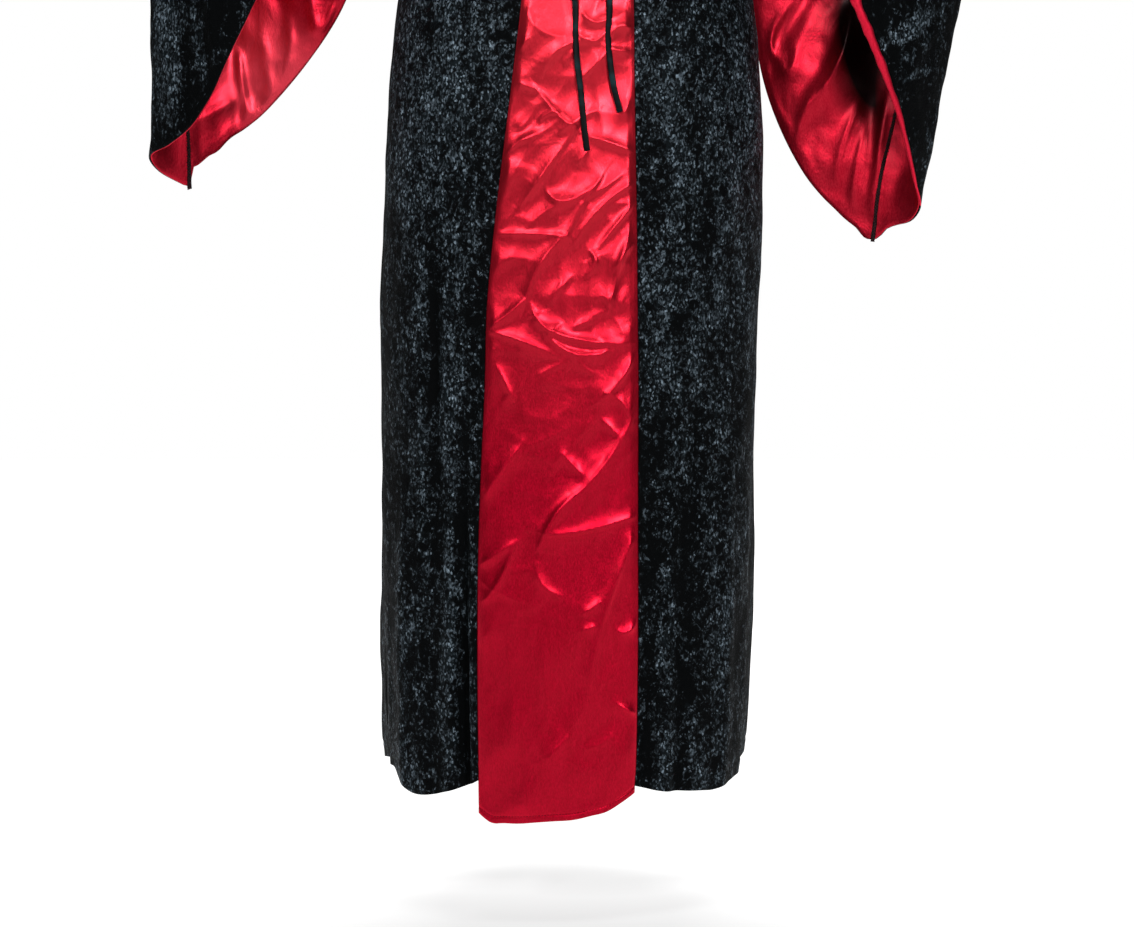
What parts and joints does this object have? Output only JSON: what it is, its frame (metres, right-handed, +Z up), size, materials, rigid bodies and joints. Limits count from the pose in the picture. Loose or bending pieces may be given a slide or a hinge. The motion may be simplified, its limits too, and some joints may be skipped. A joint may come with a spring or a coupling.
{
  "type": "vampire costume gown",
  "caption": "Full-length black velvet gown with a red satin front panel, a ribbon tie at the waist and wide bell sleeves lined in red satin, in the hollow shape it has when worn.",
  "frame": {"origin": "midway between the neck ends of the two shoulder seams, where the wearer's shoulders hold the gown up", "axes": "+Z up, -Y to the front of the gown, +X towards the wearer's left"},
  "size_m": [0.8578, 0.3606, 1.3696],
  "materials": {
    "velvet": "crushed velvet",
    "satin": "satin",
    "ribbon": "satin ribbon"
  },
  "bodies": {
    "root": {"front_side_right": "velvet", "front_side_left": "velvet", "back_right": "velvet", "back_left": "velvet", "sleeve_right": "velvet", "sleeve_left": "velvet", "front_centre": "satin", "sleeve_lining_right": "satin", "sleeve_lining_left": "satin", "tie_right": "ribbon", "tie_left": "ribbon", "tie_knot": "ribbon", "tie_end_right": "ribbon", "tie_end_left": "ribbon"}
  },
  "joints": []
}
